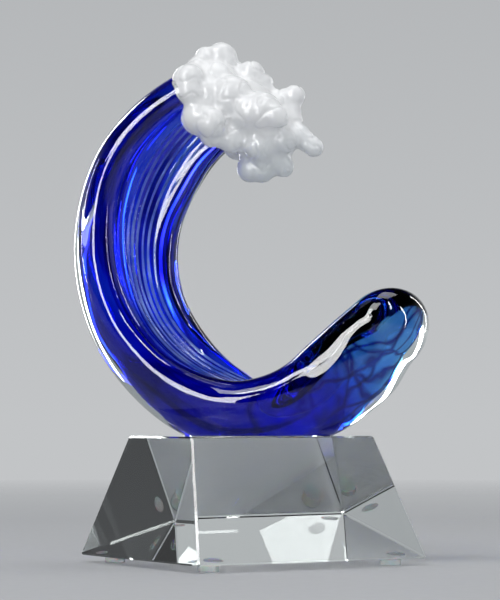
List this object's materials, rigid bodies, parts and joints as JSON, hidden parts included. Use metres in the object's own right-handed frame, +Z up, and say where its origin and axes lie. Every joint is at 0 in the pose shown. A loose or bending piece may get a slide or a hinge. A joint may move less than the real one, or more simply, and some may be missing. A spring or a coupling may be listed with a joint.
{
  "type": "glass wave sculpture",
  "caption": "Curled wave of cased cobalt-blue art glass with a white foam crest, bonded to a clear tapered crystal block on bumper feet; a free-standing award or ornament.",
  "frame": {"origin": "on the table, under the middle of the crystal block", "axes": "+Z up; the block's front faces -Y; +X to the right of someone facing that front"},
  "size_m": [0.139, 0.1215, 0.2409],
  "materials": {
    "crystal": "optical crystal, ground and polished",
    "bumper": "clear soft polyurethane",
    "adhesive": "clear cured adhesive",
    "clear_glass": "fire-polished",
    "cobalt_glass": "transparent coloured glass",
    "pale_glass": "translucent drawn threads",
    "opal_glass": "opal, fire-polished"
  },
  "bodies": {
    "root": {"crystal_base": "crystal", "bumper_front_left": "bumper", "bumper_front_right": "bumper", "bumper_rear_left": "bumper", "bumper_rear_right": "bumper", "bond_film": "adhesive", "wave_casing": "clear_glass", "wave_core": "cobalt_glass", "foam_crest": "opal_glass", "pale_trail_1": "pale_glass", "pale_trail_2": "pale_glass", "pale_trail_3": "pale_glass", "pale_trail_4": "pale_glass", "pale_trail_5": "pale_glass", "pale_trail_6": "pale_glass"}
  },
  "joints": []
}
